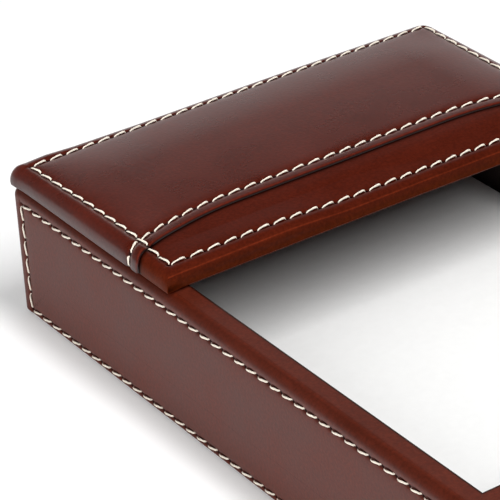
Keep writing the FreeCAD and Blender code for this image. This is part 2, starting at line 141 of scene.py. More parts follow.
def new_material(name):
    material = bpy.data.materials.new(name)
    material.use_nodes = True
    material.node_tree.nodes.clear()
    return material, material.node_tree


WHITE = (1, 1, 1, 1)
print("cream in linear light:", [round(c, 3) for c in linear("#eadfc8")[:3]])


# %% [markdown]
# ## Studio floor
#
# The tray stands on white paper. It could be lit until it is white in the picture, but then the
# tray would be lit too strongly. So the paper glows, and only the camera and mirrors see it: a
# little near the tray, where its shadow has to stay, and more from 0.6 m out, where the lamps fade.

# %% Floor
def studio_rays(tree):
    """1 for rays from the camera, a mirror or a glass, and 0 for rays that carry light."""
    rays = put(tree, "ShaderNodeLightPath").outputs
    seen = maths(tree, "ADD", rays["Is Camera Ray"], rays["Is Glossy Ray"])
    return maths(tree, "ADD", seen, rays["Is Transmission Ray"], use_clamp=True)


FLOOR_REACH = 3.0
floor_mesh = bpy.data.meshes.new("studio_floor")
corners = [(x * FLOOR_REACH, y * FLOOR_REACH, 0) for x, y in ((-1, -1), (1, -1), (1, 1), (-1, 1))]
floor_mesh.from_pydata(corners, [], [(0, 1, 2, 3)])
floor = bpy.data.objects.new("studio_floor", floor_mesh)
bpy.context.collection.objects.link(floor)

sweep, tree = new_material("white_paper_sweep")
surface = put(tree, "ShaderNodeBsdfDiffuse", {"Color": linear("#f2f2f2")})
spot = put(tree, "ShaderNodeTexCoord").outputs["Object"]
away = put(tree, "ShaderNodeVectorMath", {0: spot}, operation="LENGTH").outputs["Value"]
shine = maths(tree, "MULTIPLY", studio_rays(tree), ramp(tree, away, 0.6, 1.8, 0.14, 0.75))
glow = put(tree, "ShaderNodeEmission", {"Color": WHITE, "Strength": shine})
both = put(tree, "ShaderNodeAddShader", {0: surface.outputs[0], 1: glow.outputs[0]})
put(tree, "ShaderNodeOutputMaterial", {"Surface": both.outputs[0]})
floor_mesh.materials.append(sweep)
print("floor:", 2 * FLOOR_REACH, "m wide")


# %% [markdown]
# ## Surround
#
# Ironed leather shows what stands round it. A plain white world would turn it grey all over, so
# the world is drawn as a studio looks from the tray: white walls near the floor, a dark ceiling, and a
# dark flag on the left. Mirrored rays see that, and the camera sees plain white. The light that
# the world gives comes softly from overhead, so the paper deep under the ledge stays dark.

# %% Surround
world = bpy.data.worlds.new("white_studio")
bpy.context.scene.world = world
world.use_nodes = True
tree = world.node_tree
tree.nodes.clear()
place = put(tree, "ShaderNodeTexCoord").outputs["Generated"]
toward = put(tree, "ShaderNodeSeparateXYZ", {0: place}).outputs
ceiling = ramp(tree, toward["Z"], 0.22, 0.62, 1.0, 0.02, "SMOOTHSTEP")
flag = ramp(tree, toward["X"], -0.6, 0.1, 0.2, 1.0, "SMOOTHSTEP")
overhead = ramp(tree, toward["Z"], 0.35, 0.75, 0.03, 0.40, "SMOOTHSTEP")
from_camera = put(tree, "ShaderNodeLightPath").outputs["Is Camera Ray"]
seen = maths(tree, "MAXIMUM", maths(tree, "MULTIPLY", ceiling, flag), from_camera)
strength = mix(tree, studio_rays(tree), overhead, seen, "FLOAT")
surround = put(tree, "ShaderNodeBackground", {"Color": WHITE, "Strength": strength})
put(tree, "ShaderNodeOutputWorld", {"Surface": surround.outputs[0]})
print("world:", world.name, "with", len(tree.nodes), "nodes")


# %% [markdown]
# ## Lamps
#
# A tall narrow softbox hangs in front of the tray and above it. It is the main light, and makes the
# shadow under the ledge. A broad weaker one stands low on the left and fills the left wall. Both
# are hidden from mirrors, because the surround already says what the leather mirrors.

# %% Lamps
def softbox(name, size, place, aim, power):
    lamp = bpy.data.lights.new(name, "AREA")
    lamp.shape = "RECTANGLE"
    lamp.size, lamp.size_y = size
    lamp.energy = power
    holder = bpy.data.objects.new(name, lamp)
    bpy.context.collection.objects.link(holder)
    holder.location = place
    holder.rotation_euler = (Vector(aim) - Vector(place)).to_track_quat("-Z", "Y").to_euler()
    holder.visible_glossy = False
    print(name, power, "W")


softbox("front_strip_softbox", (0.26, 1.0), (0.11, -0.63, 1.02), (0, 0.02, 0), 13.8)
softbox("left_fill_softbox", (0.5, 0.9), (-0.95, -0.20, 0.36), (-0.05, 0, 0.02), 7.6)
bpy.context.scene.view_settings.view_transform = "Standard"


# %% [markdown]
# ## Leather
#
# Smooth corrected-grain calf, dyed red-brown, sealed with a clear acrylic finish and ironed. The
# eye reads it by a deep red colour where nothing bright is mirrored, a satin grey sheen where the
# white studio is, and a fine closed grain. An image could carry the marks of the needle, but a point
# attribute on the mesh, `seam`, lets the shader draw them exactly where the thread goes in. It says
# how many stitches along the nearest seam, how many millimetres beside it, and how rolled the
# leather is there. The marks are painted shade: a dark hole at each whole stitch, a dark hollow beside
# each middle and a darker groove along all.

# %% Painted shade along a seam
MEAN_PITCH = 4.15
HOLE_RADIUS = 0.34
HOLLOW_AT = 0.55


def distance(tree, along, beside):
    joined = put(tree, "ShaderNodeCombineXYZ", {0: along, 1: beside}).outputs[0]
    return put(tree, "ShaderNodeVectorMath", {0: joined}, operation="LENGTH").outputs["Value"]


def painted_seam_shade(tree, parts, hollow_shade):
    """How much painted shade a seam's holes, groove and hollows get, from 0 to 1."""
    count, beside = parts["X"], parts["Y"]
    along = maths(tree, "SUBTRACT", maths(tree, "FRACT", maths(tree, "ADD", count, 0.5)), 0.5)
    to_hole = distance(tree, maths(tree, "MULTIPLY", along, MEAN_PITCH), beside)
    holes = ramp(tree, to_hole, HOLE_RADIUS * 0.6, HOLE_RADIUS * 1.5, 1.0, 0.0, "SMOOTHSTEP")
    # The hollow is an oval: a third of a stitch long and 0.3 mm wide, 0.4 mm beside the seam.
    along = maths(tree, "DIVIDE", maths(tree, "SUBTRACT", maths(tree, "FRACT", count), HOLLOW_AT), 0.33)
    to_hollow = distance(tree, along, maths(tree, "DIVIDE", maths(tree, "ADD", beside, 0.40), 0.30))
    hollow = ramp(tree, to_hollow, 0.5, 1.25, hollow_shade, 0.0, "SMOOTHSTEP")
    groove = ramp(tree, maths(tree, "ABSOLUTE", beside), 0.1, 0.75, 0.45, 0.0, "SMOOTHSTEP")
    return maths(tree, "MAXIMUM", maths(tree, "MAXIMUM", holes, groove), hollow)


print("needle holes about", 2 * HOLE_RADIUS, "mm wide")


# %% [markdown]
# ### Ironed and dyed
#
# Dye leaves clouds about 14 mm across and flecks at the pores. Pores are 0.1 to 0.2 mm apart, less
# than a pixel of the picture, so flecks are drawn at 0.7 mm and the grain's cells at 0.6 mm. A
# second point attribute says how much lighter or darker the leather is drawn: mostly painted shade,
# shadow and highlight at edges, folds and rolls, and some rubbing. The clear coat makes the gloss,
# so the IOR is that of acrylic. Ironing leaves it satin, a little duller on rolled edges and dull
# inside the needle holes. All three leathers are one kind: the walls are the roughest, the ledge's
# cover has hardly any coat left, and the overlay has the most.

# %% Three leathers
CLOUDS, FLECKS, GRAIN = 70.0, 1400.0, 1700.0
GRAIN_DEPTH = 0.00012
ACRYLIC_IOR = 1.49
# The near-black brown of the painted shade in needle holes, grooves and stitch hollows.
HOLE_SHADE_COLOUR = "#120504"


def calf(name, panel, rolled, roughness, gloss_level, hollow_shade):
    """CLOUDS, FLECKS and GRAIN are patches to a metre, and GRAIN_DEPTH is in metres."""
    material, tree = new_material(name)
    seam = put(tree, "ShaderNodeAttribute", attribute_name="seam").outputs["Vector"]
    parts = put(tree, "ShaderNodeSeparateXYZ", {0: seam}).outputs
    # Painted shade: needle holes, grooves and stitch hollows are darkened towards a near-black brown.
    dark = painted_seam_shade(tree, parts, hollow_shade)
    clouds, fleck = noise(tree, CLOUDS, 4.0, 0.55), noise(tree, FLECKS, 2.0, 0.6)

    mottle = ramp(tree, clouds, 0.3, 0.7, 0.88, 1.12)
    speckle = ramp(tree, fleck, 0.35, 0.75, 0.84, 1.28)
    # This attribute brightens or darkens the dye: mostly painted shade, shadow and highlight, and some
    # rubbing.
    painted_light_and_wear = put(tree, "ShaderNodeAttribute", attribute_name="painted_light_and_wear").outputs["Fac"]
    light_and_wear_gain = maths(tree, "ADD", painted_light_and_wear, 1.0)
    shade = maths(tree, "MULTIPLY", maths(tree, "MULTIPLY", mottle, speckle), light_and_wear_gain)
    dye = mix(tree, parts["Z"], linear(panel), linear(rolled))
    colour = put(tree, "ShaderNodeVectorMath", {0: dye, "Scale": shade}, operation="SCALE").outputs[0]

    place = put(tree, "ShaderNodeTexCoord").outputs["Object"]
    cells = {"Vector": place, "Scale": GRAIN, "Randomness": 1.0}
    grain = put(tree, "ShaderNodeTexVoronoi", cells, feature="SMOOTH_F1").outputs["Distance"]
    relief = maths(tree, "ADD", grain, fleck)
    bump = put(tree, "ShaderNodeBump", {"Strength": 0.10, "Distance": GRAIN_DEPTH, "Height": relief})
    gloss = ramp(tree, clouds, 0.3, 0.7, roughness - 0.03, roughness + 0.04)
    gloss = maths(tree, "MULTIPLY_ADD", parts["Z"], 0.03, gloss)
    gloss = maths(tree, "MULTIPLY_ADD", dark, 0.4, gloss, use_clamp=True)
    skin = put(
        tree,
        "ShaderNodeBsdfPrincipled",
        {
            "Base Color": mix(tree, dark, colour, linear(HOLE_SHADE_COLOUR)),
            "Roughness": gloss,
            "IOR": ACRYLIC_IOR,
            "Specular IOR Level": gloss_level,
            "Normal": bump.outputs[0],
        },
    )
    put(tree, "ShaderNodeOutputMaterial", {"Surface": skin.outputs[0]})
    print(name, "with", len(tree.nodes), "nodes")
    return material


wall_calf = calf("ironed_calf_walls", "#4d190a", "#522014", 0.40, 0.23, 0.8)
ledge_calf = calf("ironed_calf_ledge", "#48160a", "#4c1b08", 0.34, 0.05, 0.35)
# The overlay's rolled colour is darker than its panel: painted shade on its front roll and rounded sides.
overlay_calf = calf("ironed_calf_overlay", "#4c180d", "#38100a", 0.28, 0.48, 0.35)


# %% [markdown]
# ## Thread, linings, boards, felt and paper
#
# Five matt surfaces differ in colour, in the size of their unevenness and in how rough they are, so
# one function makes them all. The thread is waxed cream linen: wax gives a soft shine, and fibres a
# streaky tone. Suede and felt catch light at a low angle, so they get some sheen. Board is pressed
# grey pulp. Note paper is uncoated: white, dull and faintly cloudy. Fibres and nap are finer than
# a pixel, so the thread's streaks are drawn at 0.4 mm, the nap of suede at 1.1 mm and wool at 1.4 mm.

# %% Plain finishes
def matt(name, low, high, scale, roughness, depth, detail=5.0, rough_noise=0.6, relief=0.6, sheen=0.0):
    """scale: uneven patches to a metre; depth: how deep they are, in metres."""
    material, tree = new_material(name)
    patches = noise(tree, scale, detail, rough_noise)
    bump = put(tree, "ShaderNodeBump", {"Strength": relief, "Distance": depth, "Height": patches})
    body = put(
        tree,
        "ShaderNodeBsdfPrincipled",
        {
            "Base Color": mix(tree, patches, linear(low), linear(high)),
            "Roughness": roughness,
            "IOR": 1.5,
            "Sheen Weight": sheen,
            "Normal": bump.outputs[0],
        },
    )
    put(tree, "ShaderNodeOutputMaterial", {"Surface": body.outputs[0]})
    return material


waxed_linen = matt("waxed_linen_thread", "#e3d3bc", "#fffaf0", 2600.0, 0.55, 0.0001, 3.0, 0.5, 0.5)
suede_lining = matt("brown_suede_lining", "#180b08", "#2a150f", 900.0, 0.9, 0.0002, sheen=0.08)
wool_felt = matt("pressed_wool_felt", "#2a1c16", "#4a342a", 700.0, 0.95, 0.0004, sheen=0.3)
grey_board = matt("pressed_grey_board", "#8d8374", "#a99e8d", 400.0, 0.85, 0.0001)
note_sheet = matt("uncoated_note_paper", "#f2f2f1", "#f9f9f8", 500.0, 0.8, 0.00003)
print("materials so far:", len(bpy.data.materials))


# %% [markdown]
# ## Mesh tools
#
# Leather is a sheet, so every leather here is a lattice of rows and columns of points, pushed in
# where thread pulls it down. A sculpted mesh would do as well, but a lattice can be measured.
# `solid_piece` makes a mesh of points and faces, turns its faces outwards and smooths them.
# `finish_piece` says what the piece is made of, what it rides on and which CAD nodes it stands for.

# %% Mesh tools
def solid_piece(name, points, faces, seam=None, painted_light_and_wear=None):
    mesh = bpy.data.meshes.new(name)
    mesh.from_pydata((np.asarray(points) * MM).tolist(), [], faces)
    if seam is not None:
        layer = mesh.attributes.new("seam", "FLOAT_VECTOR", "POINT")
        layer.data.foreach_set("vector", np.asarray(seam, dtype=np.float32).ravel())
    if painted_light_and_wear is not None:
        layer = mesh.attributes.new("painted_light_and_wear", "FLOAT", "POINT")
        layer.data.foreach_set("value", np.asarray(painted_light_and_wear, dtype=np.float32).ravel())
    work = bmesh.new()
    work.from_mesh(mesh)
    bmesh.ops.recalc_face_normals(work, faces=work.faces)
    for face in work.faces:
        face.smooth = True
    work.to_mesh(mesh)
    work.free()
    piece = bpy.data.objects.new(name, mesh)
    bpy.context.collection.objects.link(piece)
    return piece


def lattice_faces(rows, columns, closed_rows=False):
    last = rows if closed_rows else rows - 1
    return [
        (
            r * columns + c,
            r * columns + c + 1,
            (r + 1) % rows * columns + c + 1,
            (r + 1) % rows * columns + c,
        )
        for r in range(last)
        for c in range(columns - 1)
    ]


def finish_piece(piece, material, slot, body, *nodes):
    piece.data.materials.append(material)
    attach(piece, body)
    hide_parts(*nodes)
    print(piece.name, len(piece.data.polygons), "faces")


def spaced(start, end, step):
    return np.linspace(start, end, max(2, int(round(abs(end - start) / step)) + 1))


print("places from 0 to 1 by about 0.3:", spaced(0, 1, 0.3).round(2))


# %% [markdown]
# ## Seams
#
# A saddle-stitched seam lies in a wide shallow dip, with a narrow groove along it and a deeper pit at
# each needle hole. Under each stitch's middle the tight thread presses a small hollow. All of them
# are bell curves, which join without a crease. `pull` gives the narrow depths at a distance along
# a seam, counted in stitches, and beside it. `dip` gives the wide one.

# %% Grooves and holes
STITCH = 4.16
GROOVE_DEPTH, GROOVE_HALF = 0.16, 0.55
HOLE_DEPTH, HOLE_HALF = 0.38, 0.45
HOLLOW_DEPTH, HOLLOW_LONG, HOLLOW_HALF, HOLLOW_ASIDE = 0.22, 1.25, 0.32, 0.42
DIP_DEPTH, DIP_HALF = 0.12, 1.5


def pull(along, aside, pitch):
    to_hole = (along - np.round(along)) * pitch
    groove = GROOVE_DEPTH * np.exp(-((aside / GROOVE_HALF) ** 2))
    hole = HOLE_DEPTH * np.exp(-((to_hole**2 + aside**2) / HOLE_HALF**2))
    middle = (along - np.floor(along) - HOLLOW_AT) * pitch / HOLLOW_LONG
    hollow = HOLLOW_DEPTH * np.exp(-(middle**2 + ((aside + HOLLOW_ASIDE) / HOLLOW_HALF) ** 2))
    return groove + hole + hollow


def dip(aside):
    return DIP_DEPTH * np.exp(-((aside / DIP_HALF) ** 2))


print("depth at a hole:", round(float(pull(0.0, 0.0, STITCH) + dip(0.0)), 2), "mm")


# %% [markdown]
# ## Wall leathers
#
# Each wall is covered by one panel. It starts inside the tray under the rim, rolls over the rim,
# comes down the face and turns in under the foot. The profile below is that path in two numbers,
# how far in from the outer face and how high, with points close together where a seam will pull.

# %% Wall profile
HALF_WIDTH, HALF_LENGTH = 57.8, 83.2
RIM, FOOT = 32.4, 0.7
WALL, CORNER = 6.4, 2.3
LEATHER, BOARDS = 1.0, 5.2
RETURN_FOOT = 27.4
RIM_SEAM, FOOT_SEAM, SIDE_SEAM = RIM - 3.6, FOOT + 1.2, 4.0
EDGE_IN, EDGE_DOWN, INNER_ROUND, FOOT_ROUND = 2.7, 2.3, 0.25, 0.6


def wall_profile():
    inner = [(WALL, z) for z in (RETURN_FOOT, 28.6, 29.8, 30.8, 31.7)]
    turn = np.radians([15, 35, 55, 75, 90])
    inner += [(WALL - INNER_ROUND * (1 - math.cos(a)), RIM - INNER_ROUND * (1 - math.sin(a))) for a in turn]
    top = [(WALL - d, RIM) for d in (0.35, 0.5, 0.65)]
    top += [(d, RIM) for d in spaced(WALL - 0.9, EDGE_IN + 0.3, 0.45)]
    bend = np.radians(np.linspace(0, 90, 12))
    outer = [(EDGE_IN - EDGE_IN * math.sin(a), RIM - EDGE_DOWN + EDGE_DOWN * math.cos(a)) for a in bend]
    face = [(0, z) for z in spaced(RIM - EDGE_DOWN - 0.3, RIM_SEAM - 1.3, 0.24)]
    face += [(0, z) for z in spaced(RIM_SEAM - 1.9, FOOT_SEAM + 2.0, 0.75)]
    face += [(0, z) for z in spaced(FOOT_SEAM + 1.4, FOOT + FOOT_ROUND, 0.22)]
    turn = np.radians([25, 50, 75, 90])
    foot = [(FOOT_ROUND * (1 - math.cos(a)), FOOT + FOOT_ROUND * (1 - math.sin(a))) for a in turn]
    hidden = [(2.5, FOOT), (BOARDS, FOOT), (BOARDS, FOOT + LEATHER), (LEATHER, FOOT + LEATHER)]
    hidden += [(LEATHER, z) for z in (8.0, 20.0, RIM - LEATHER - 0.6)]
    hidden += [(LEATHER + 0.6, RIM - LEATHER), (BOARDS, RIM - LEATHER), (BOARDS, RETURN_FOOT)]
    points = np.array(inner + top + outer + face + foot + hidden)
    shown = len(inner + top + outer + face + foot)
    return points, shown


profile, shown = wall_profile()
print("wall profile:", len(profile), "points,", shown, "of them showing")


# %% [markdown]
# ### Which seam is nearest
#
# The stitched border is a rectangle on the wall's face. The mesh has to know the nearest of its four
# rows at every point. A search over all stitches would be slow, so the rows are offered one
# after the other, and each point keeps the nearest so far. `WITHIN` lets a row's grooves reach a
# little past its last hole.

# %% Nearest seam
WITHIN, FAR = 0.4, 9.0


def offer(best, inside, stitches, beside, pitch):
    """Keeps a row's numbers in best wherever it is nearer than the rows offered before it."""
    beside = np.where(inside, beside, FAR)
    nearer = np.abs(beside) < np.abs(best[1])
    best[:] = [np.where(nearer, new, old) for new, old in zip((stitches, beside, pitch), best)]


def seam_of_wall(s, z, half):
    """The nearest seam: stitches along it, distance beside it, and its pitch."""
    row_half, column = half - SIDE_SEAM, RIM_SEAM - FOOT_SEAM
    row_pitch = 2 * row_half / round(2 * row_half / STITCH)
    column_pitch = column / round(column / STITCH)
    best = [np.zeros(s.shape), np.full(s.shape, FAR), np.full(s.shape, row_pitch)]
    within_s = np.abs(s) <= row_half + WITHIN
    within_z = (z >= FOOT_SEAM - WITHIN) & (z <= RIM_SEAM + WITHIN)
    for level in (FOOT_SEAM, RIM_SEAM):
        offer(best, within_s, (s + row_half) / row_pitch, level - z, row_pitch)
    for edge in (-row_half, row_half):
        offer(best, within_z, (z - FOOT_SEAM) / column_pitch, s - edge, column_pitch)
    return best


side_row_count = round(2 * (HALF_LENGTH - SIDE_SEAM) / STITCH)
print("stitches along a side wall's rim:", side_row_count)


# %% [markdown]
# ### One wall
#
# The profile is swept along the wall. At its ends the outer layers turn forty-five degrees round the
# upright corner, and the layers deeper than the corner's radius are squeezed into a mitre, where
# the next wall's panel meets them. Points on the face are then pushed in by the seams. The inner edge
# of the rim is drawn dark, and its outer rounding gets painted shade.

# %% Sweep one wall
FINE = 0.26
SQUEEZE_FROM = 8.0
INNER_EDGE_DARK, EDGE_SHADE = -0.92, -0.22


def wall_run(half):
    """Places along a wall, close together near its ends, with five turned round each corner."""
    straight, near_corner = half - CORNER, half - SIDE_SEAM - 1.5
    run = np.concatenate(
        [
            spaced(-straight, -near_corner, FINE)[:-1],
            spaced(-near_corner, near_corner, 2 * FINE),
            spaced(near_corner, straight, FINE)[1:],
        ]
    )
    turn = np.radians([9, 18, 27, 36, 45])
    s = np.concatenate([-straight - CORNER * turn[::-1], run, straight + CORNER * turn])
    return s, np.concatenate([-turn[::-1], np.zeros(len(run)), turn])


def wall_leather(name, outward, along, half, reach):
    """outward, along: the wall's directions; half: half its length; reach: how far out it stands."""
    places, angle = wall_run(half)
    straight = half - CORNER
    inward, height = profile[:, :1], profile[:, 1:]
    s, z = np.broadcast_arrays(places[None, :], height)
    on_face = (inward < EDGE_IN) & (height > FOOT) & (np.arange(len(profile))[:, None] < shown)
    stitches, beside, pitch = seam_of_wall(s, z, half)
    d = inward + np.where(on_face, pull(stitches, beside, pitch) + dip(beside), 0.0)

    radius = np.maximum(CORNER - d, 0.0)
    bent = np.abs(angle) > 0
    limit, end = half - SQUEEZE_FROM, places[-1]
    squeezed = limit + (np.abs(s) - limit) * (half - inward - limit) / (end - limit)
    deep = (inward >= CORNER) & (np.abs(s) > limit)
    s_out = np.where(bent, np.sign(angle) * straight + radius * np.sin(angle), s)
    s_out = np.where(deep, np.sign(s) * squeezed, s_out)
    d_out = np.where(bent & (d < CORNER), CORNER - radius * np.cos(angle), d)
    points = (
        np.array(outward) * (reach - d_out)[..., None]
        + np.array(along) * s_out[..., None]
        + np.array([0, 0, 1.0]) * z[..., None]
    )

    rolled = np.clip(1 - np.abs(z - (RIM - 1.0)) / 1.3, 0, 1) * (inward < 3.4)
    rolled = np.maximum(rolled, np.clip(1 - np.abs(z - FOOT) / 1.0, 0, 1))
    rolled = np.where(np.broadcast_to(inward > 2.4, z.shape), 1.0, rolled)
    seam = np.stack([stitches, np.where(on_face, beside, FAR), rolled], axis=-1)
    near_well = np.hypot(inward - WALL, height - RIM)
    # The rim's inner edge is drawn dark, and its outer rounding gets painted shade.
    painted_light_and_wear = INNER_EDGE_DARK * np.exp(-((near_well / 0.55) ** 4))
    painted_light_and_wear = np.broadcast_to(painted_light_and_wear + EDGE_SHADE * ((inward < 1.8) & (height > RIM - 1.9)), z.shape)
    rows, columns = z.shape
    faces = lattice_faces(rows, columns, closed_rows=True)
    faces.append(tuple(r * columns for r in range(rows)))
    faces.append(tuple(r * columns + columns - 1 for r in reversed(range(rows))))
    return solid_piece(name, points.reshape(-1, 3), faces, seam.reshape(-1, 3), painted_light_and_wear)


WALLS = {
    "left": ((-1, 0, 0), (0, -1, 0), HALF_LENGTH, HALF_WIDTH),
    "right": ((1, 0, 0), (0, 1, 0), HALF_LENGTH, HALF_WIDTH),
    "back": ((0, 1, 0), (-1, 0, 0), HALF_WIDTH, HALF_LENGTH),
    "front": ((0, -1, 0), (1, 0, 0), HALF_WIDTH, HALF_LENGTH),
}
for side, facts in WALLS.items():
    panel = wall_leather(side + "_wall_calf", *facts)
    finish_piece(panel, wall_calf, "wall_leather", "tray", side + "_leather")


# %% [markdown]
# ## Stitches
#
# A saddle stitch made with a slanting awl is not a straight dash. The thread comes up thin out of
# one hole, fattens as the tension lets go, leans across the seam and dives into the next hole, like
# a comma. Each is a short tube whose section has two lobes that turn along it, which is how two
# plies look from outside.

# %% One stitch
RINGS, AROUND = 12, 10
STITCH_LENGTH, SLANT = 0.88, math.radians(8)
THIN, FAT, RISE, DIVE = 0.11, 0.145, 0.10, 0.9
LOBE, TWIST = 0.12, 5.5


def stitch_points(middle, along, outward, pitch):
    along, outward = np.array(along, float), np.array(outward, float)
    outward /= np.linalg.norm(outward)
    along -= outward * np.dot(along, outward)
    along /= np.linalg.norm(along)
    beside = np.cross(outward, along)
    t = np.linspace(0, 1, RINGS)
    length = pitch * STITCH_LENGTH
    lean = (t - 0.5) * length * math.tan(SLANT) - 0.05 * np.sin(2 * math.pi * t)
    dive = DIVE * (np.exp(-t / 0.05) + np.exp(-(1 - t) / 0.04))
    height = 0.03 + RISE * np.sin(math.pi * t) - dive
    thick = THIN + FAT * (1 - np.exp(-t / 0.28)) - 0.04 * np.clip((t - 0.9) / 0.1, 0, 1)
    spine = (
        np.array(middle)
        + np.outer((t - 0.5) * length, along)
        + np.outer(lean, beside)
        + np.outer(height, outward)
    )
    around = np.linspace(0, 2 * math.pi, AROUND, endpoint=False)
    rings = []
    for place, width, step in zip(spine, thick, t):
        lobes = 1 + LOBE * np.cos(2 * (around - TWIST * step))
        rings.append(
            place
            + np.outer(np.cos(around) * lobes * width, beside)
            + np.outer(np.sin(around) * lobes * width * 0.85, outward)
        )
    return np.concatenate(rings)


def stitch_faces(start):
    faces = []
    for r in range(RINGS - 1):
        for c in range(AROUND):
            a, b = start + r * AROUND + c, start + r * AROUND + (c + 1) % AROUND
            faces.append((a, b, b + AROUND, a + AROUND))
    faces.append(tuple(start + c for c in reversed(range(AROUND))))
    faces.append(tuple(start + (RINGS - 1) * AROUND + c for c in range(AROUND)))
    return faces


def stitched(name, stitches, *nodes):
    points, faces = [], []
    for stitch in stitches:
        faces += stitch_faces(len(points) * RINGS * AROUND)
        points.append(stitch_points(*stitch))
    piece = solid_piece(name, np.concatenate(points), faces)
    finish_piece(piece, waxed_linen, "thread", "tray", *nodes)


print("one stitch:", RINGS * AROUND, "points,", round(STITCH * STITCH_LENGTH, 2), "mm long")


# %% [markdown]
# ### Stitches of the walls
#
# Four rows make each wall's border, and their stitches divide each side evenly, as a worker does
# with a marking wheel. The rows use the same seam lines as the grooves and lie in them, `BED`
# deep under the leather's level.

# %% Stitches of the walls
BED = 0.16


def even_row(start, end, outward):
    length = np.linalg.norm(end - start)
    count = max(1, round(length / STITCH))
    return [
        (start + (end - start) * (k + 0.5) / count, end - start, outward, length / count)
        for k in range(count)
    ]


def wall_rows(outward, along, half, reach):
    outward, along, up_axis = np.array(outward), np.array(along), np.array((0, 0, 1))
    ends = [outward * (reach - BED) + along * way * (half - SIDE_SEAM) for way in (-1, 1)]
    low, high = ([end + up_axis * level for end in ends] for level in (FOOT_SEAM, RIM_SEAM))
    rows = [(low[0], low[1]), (high[0], high[1]), (high[0], low[0]), (high[1], low[1])]
    return [stitch for row in rows for stitch in even_row(*row, outward)]


for side, facts in WALLS.items():
    stitched(side + "_wall_thread", wall_rows(*facts), side + "_stitching")


# %% [markdown]
# ## Ledge
#
# The ledge is a flat board with a thin foam pad, wrapped in one leather, with a second leather over
# its back two thirds. Its top is a soft crown. It could be simulated as cloth over foam, but the
# leather is glued down and tight, so its form is written as a height over the plan: `crown` for
# the board's leather, `pad` for the foam, and `droop` for the strips outside the seams, which the
# thread pulls down. Both leathers are worked out from this one form.

# %% The ledge's form
LEDGE_SIDE, NOSE, BACK = 57.8, 19.1, 83.2
LEDGE_TOP = 36.8
BACK_CORNER, NOSE_CORNER, MARGIN = 2.2, 0.6, 3.0
CROWN, NOSE_PULL, LEFT_PUFF, PAD_RISE = 0.3, 0.8, 0.25, 1.2
SIDE_ROW, NOSE_ROW, BACK_ROW = 54.15, 23.7, 79.0


def ease(value, low, high):
    """0 at low, 1 at high and a smooth step between them."""
    share = np.clip((np.asarray(value, float) - low) / (high - low), 0, 1)
    return share * share * (3 - 2 * share)


def droop(x, y):
    """The strips behind the back row and outside the right side row are pulled down."""
    back = np.clip(np.asarray(y) - BACK_ROW, 0, None)
    aside = np.clip(np.asarray(x) - SIDE_ROW, 0, None)
    pulled = np.interp(x, [-54, -49, -41, -32, -24, 20, 35], [0, -0.08, 0.11, 0.18, 0.24, 0.24, 0.28])
    return back * pulled + 0.25 * aside


def crown(x, y):
    """A crown, pulled down by the nose row in the middle, and a puff at the left edge."""
    middle = CROWN * np.clip(1 - (np.asarray(x) / SIDE_ROW) ** 2, 0, 1)
    front = NOSE_PULL * ease(x, -28, -8) * ease(x, 54, 42) * ease(y, 33, 24)
    left = LEFT_PUFF * ease(x, -42, -52) * ease(y, 24, 34) * ease(y, 72, 56)
    return middle - front + left


def pad(x, y):
    """The foam under the leather, highest in the middle of the back half."""
    start = 30 - 6 * ease(x, -5, 30)
    rise = PAD_RISE
    for inside in ((SIDE_ROW - np.abs(x)) / 14, (BACK_ROW - y) / 17, (y - start) / (62 - start)):
        rise = rise * (1 - (1 - np.clip(inside, 0, 1)) ** 2)
    return rise


def ledge_height(x, y):
    return crown(x, y) + pad(x, y) - droop(x, y)


print("ledge's middle stands", round(float(ledge_height(0.0, 60.0)), 2), "mm above its edge")


# %% [markdown]
# ### Seams of the ledge
#
# A border runs round the top, and a third row follows the overlay's edge, which is cut straight in
# the middle and to a long radius at the sides. That row crosses the border and goes on down the
# ledge's sides. Hand work isn't even: the side rows bow inwards, and the nose row starts with
# two long stitches. Where the holes are is kept here once, for the grooves and for the thread.

# %% Seam lines of the ledge
SIDE_STITCHES, CROSS_STITCHES = 13, 26
SIDE_PITCH, CROSS_PITCH = (BACK_ROW - NOSE_ROW) / SIDE_STITCHES, 2 * SIDE_ROW / CROSS_STITCHES
NOSE_EXTRA = 0.88
steps = np.arange(CROSS_STITCHES + 1)
extra = NOSE_EXTRA * (1 - np.exp(-steps / 0.9)) * ease(steps, 23, 15)
NOSE_HOLES = -SIDE_ROW + steps * CROSS_PITCH + extra

ARC_MIDDLE, ARC_STRAIGHT, ARC_RADIUS, ARC_SEAM = 35.8, 28.0, 82.0, 3.3
ARC_STITCHES, ARC_REACH = 13, 61.5


def side_row(y):
    """Half the distance between the two side rows; they bow inwards a little in the middle."""
    return SIDE_ROW - np.interp(y, [20, 30, 42, 55, 66, 80], [0.1, 0.3, 0.45, 0.3, 0, -0.3])


def arc_edge(x, setback=0.0):
    """Where the overlay's turned edge is, or a line that runs a fixed distance behind it."""
    radius = ARC_RADIUS + setback
    aside = np.clip(np.abs(np.asarray(x, float)) - ARC_STRAIGHT, 0, None)
    return ARC_MIDDLE + setback - (radius - np.sqrt(radius**2 - aside**2))


arc_x = np.linspace(-66, 66, 1321)
arc_y = arc_edge(np.clip(arc_x, -57.6, 57.6), ARC_SEAM)
arc_slope = np.gradient(arc_y, arc_x)
arc_run = np.concatenate([[0], np.cumsum(np.hypot(np.diff(arc_x), np.diff(arc_y)))])
arc_run -= np.interp(0, arc_x, arc_run)
crossing = float(np.interp(SIDE_ROW, arc_x, arc_run))
ARC_PITCH = crossing / ARC_STITCHES
arc_holes = [k * ARC_PITCH for k in range(ARC_STITCHES + 1)] + [crossing + 3.5, crossing + 6.9]
arc_holes = [-run for run in arc_holes[:0:-1]] + arc_holes
print("arc row:", len(arc_holes) - 1, "stitches of", round(ARC_PITCH, 2), "mm")


# %% [markdown]
# ### Which ledge seam is nearest
#
# As on the walls, each row is offered in turn. The leather is thought of as laid flat, so that a seam
# which goes over the ledge's edge stays one line: `u` runs across and `v` towards the back.

